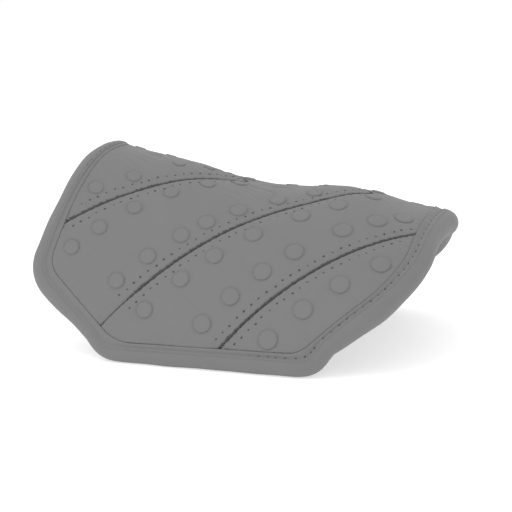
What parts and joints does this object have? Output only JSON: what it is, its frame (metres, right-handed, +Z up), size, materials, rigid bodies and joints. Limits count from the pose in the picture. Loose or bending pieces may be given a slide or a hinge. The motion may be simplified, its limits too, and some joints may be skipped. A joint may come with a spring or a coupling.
{
  "type": "back protector",
  "caption": "Soft arched back protector pad with a round bound edge, chevron seams and low raised dots, worn over the spine and lower back to soften a fall.",
  "frame": {"origin": "on the surface that the protector stands on, under the middle of its length and width", "axes": "+X along the spine from the tall end to the broad end, +Y across the back to the left, +Z up, out of the wearer's back"},
  "size_m": [0.342, 0.3066, 0.169],
  "materials": {
    "cover_cloth": "smooth matte stretch cloth, lightly creased",
    "binding_cloth": "smooth matte stretch cloth, wrapped round the edge",
    "dot_cloth": "matte pressed cloth over a foam disc",
    "thread": "matte bonded thread",
    "seam_tape": "woven tape",
    "impact_foam": "closed-cell impact foam",
    "comfort_foam": "soft open-cell foam",
    "edge_foam": "soft foam cord",
    "lining_mesh": "knitted spacer mesh"
  },
  "bodies": {
    "root": {"binding_broad_end": "binding_cloth", "binding_left": "binding_cloth", "binding_right": "binding_cloth", "binding_tall_end": "binding_cloth", "comfort_foam": "comfort_foam", "core_broad_end": "impact_foam", "core_middle": "impact_foam", "core_side_left": "impact_foam", "core_side_right": "impact_foam", "core_tall_end": "impact_foam", "cover_broad_end": "cover_cloth", "cover_middle": "cover_cloth", "cover_side_left": "cover_cloth", "cover_side_right": "cover_cloth", "cover_tall_end": "cover_cloth", "dots_broad_end": "dot_cloth", "dots_middle": "dot_cloth", "dots_side_left": "dot_cloth", "dots_side_right": "dot_cloth", "dots_tall_end": "dot_cloth", "edge_filler_broad_end": "edge_foam", "edge_filler_left": "edge_foam", "edge_filler_right": "edge_foam", "edge_filler_tall_end": "edge_foam", "inner_lining": "lining_mesh", "seam_tape_1": "seam_tape", "seam_tape_2": "seam_tape", "seam_tape_3_left": "seam_tape", "seam_tape_3_right": "seam_tape", "stitches_binding_broad_end": "thread", "stitches_binding_left": "thread", "stitches_binding_right": "thread", "stitches_binding_tall_end": "thread", "stitches_seam_1_broad_side": "thread", "stitches_seam_1_tall_side": "thread", "stitches_seam_2_broad_side": "thread", "stitches_seam_2_tall_side": "thread", "stitches_seam_3_left": "thread", "stitches_seam_3_right": "thread"}
  },
  "joints": []
}
